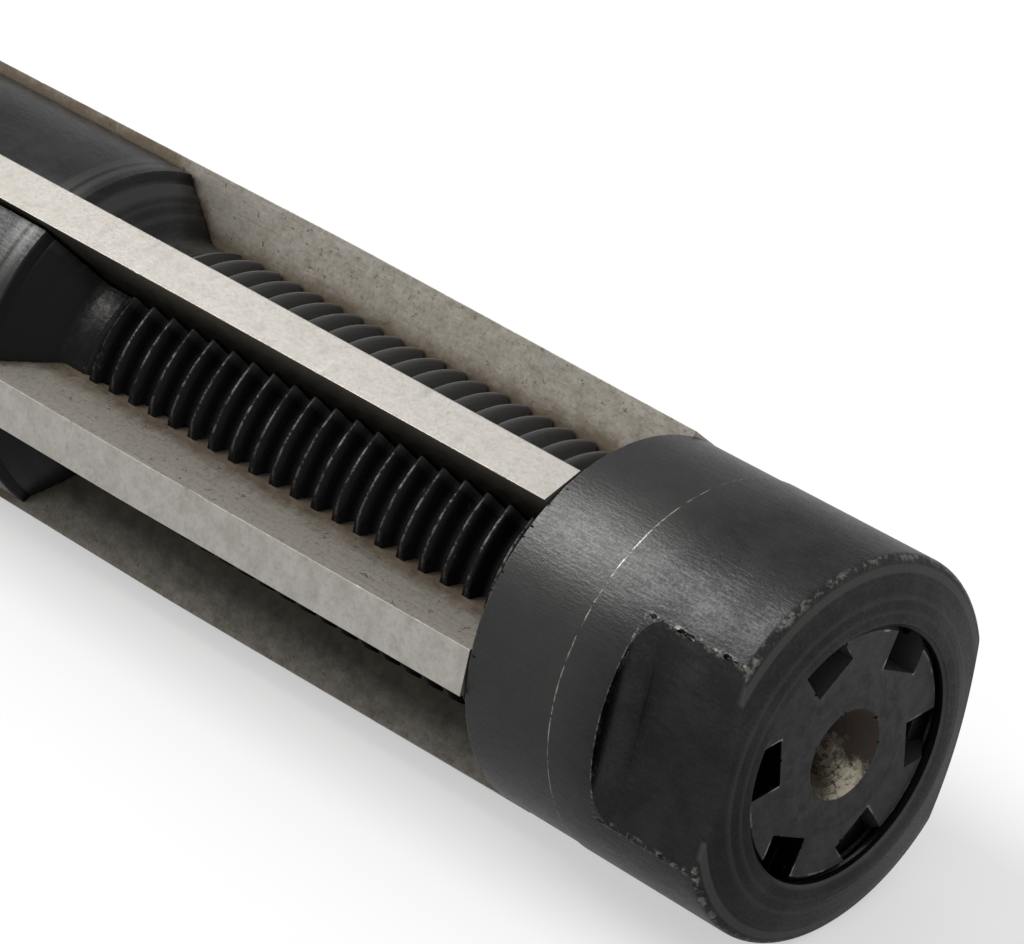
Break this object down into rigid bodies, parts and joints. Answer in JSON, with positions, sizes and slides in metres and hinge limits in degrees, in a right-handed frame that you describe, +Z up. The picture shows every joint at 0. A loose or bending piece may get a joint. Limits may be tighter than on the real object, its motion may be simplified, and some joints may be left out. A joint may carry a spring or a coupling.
{
  "type": "adjustable hand reamer",
  "caption": "Hand reamer whose loose blades slide up sloped slots between two threaded nuts, to ream holes to an adjustable diameter",
  "frame": {"origin": "centre of the body's front end face, on the tool's axis", "axes": "+X along the axis towards the cutting end, +Z up as the tool lies on its two nuts, +Y to the right seen from the front"},
  "size_m": [0.1702, 0.017, 0.016],
  "materials": {
    "blackened_steel": "black oxide over turned and milled steel",
    "blackened_nut": "satin black oxide with bright worn edges",
    "ground_blade_steel": "ground high speed steel"
  },
  "bodies": {
    "reamer_body": {"reamer_body": "blackened_steel"},
    "front_nut": {"front_nut": "blackened_nut"},
    "rear_nut": {"rear_nut": "blackened_nut"},
    "blade_1": {"blade_1": "ground_blade_steel"},
    "blade_2": {"blade_2": "ground_blade_steel"},
    "blade_3": {"blade_3": "ground_blade_steel"},
    "blade_4": {"blade_4": "ground_blade_steel"},
    "blade_5": {"blade_5": "ground_blade_steel"},
    "blade_6": {"blade_6": "ground_blade_steel"}
  },
  "joints": [
    {"name": "rear_nut_travel", "type": "slide", "parent": "reamer_body", "child": "rear_nut", "axis": [-1, 0, 0], "range_m": [0, 0.025]},
    {"name": "front_nut_turn", "type": "hinge", "parent": "rear_nut", "child": "front_nut", "pos_m": [0, 0, 0], "axis": [-1, 0, 0], "range_deg": [0, 7200]},
    {"name": "blade_1_slide", "type": "slide", "parent": "reamer_body", "child": "blade_1", "axis": [-0.9992, 0.04, 0.0007], "range_m": [0, 0.02502]},
    {"name": "blade_2_slide", "type": "slide", "parent": "reamer_body", "child": "blade_2", "axis": [-0.9992, 0.0194, 0.035], "range_m": [0, 0.02502]},
    {"name": "blade_3_slide", "type": "slide", "parent": "reamer_body", "child": "blade_3", "axis": [-0.9992, -0.0206, 0.0343], "range_m": [0, 0.02502]},
    {"name": "blade_4_slide", "type": "slide", "parent": "reamer_body", "child": "blade_4", "axis": [-0.9992, -0.04, -0.0007], "range_m": [0, 0.02502]},
    {"name": "blade_5_slide", "type": "slide", "parent": "reamer_body", "child": "blade_5", "axis": [-0.9992, -0.0194, -0.035], "range_m": [0, 0.02502]},
    {"name": "blade_6_slide", "type": "slide", "parent": "reamer_body", "child": "blade_6", "axis": [-0.9992, 0.0206, -0.0343], "range_m": [0, 0.02502]}
  ],
  "couplings": [
    {"joint": "rear_nut_travel", "follows": "front_nut_turn", "m_per_rad": 0.00019894},
    {"joint": "blade_1_slide", "follows": "front_nut_turn", "m_per_rad": 0.0001991},
    {"joint": "blade_2_slide", "follows": "front_nut_turn", "m_per_rad": 0.0001991},
    {"joint": "blade_3_slide", "follows": "front_nut_turn", "m_per_rad": 0.0001991},
    {"joint": "blade_4_slide", "follows": "front_nut_turn", "m_per_rad": 0.0001991},
    {"joint": "blade_5_slide", "follows": "front_nut_turn", "m_per_rad": 0.0001991},
    {"joint": "blade_6_slide", "follows": "front_nut_turn", "m_per_rad": 0.0001991}
  ]
}
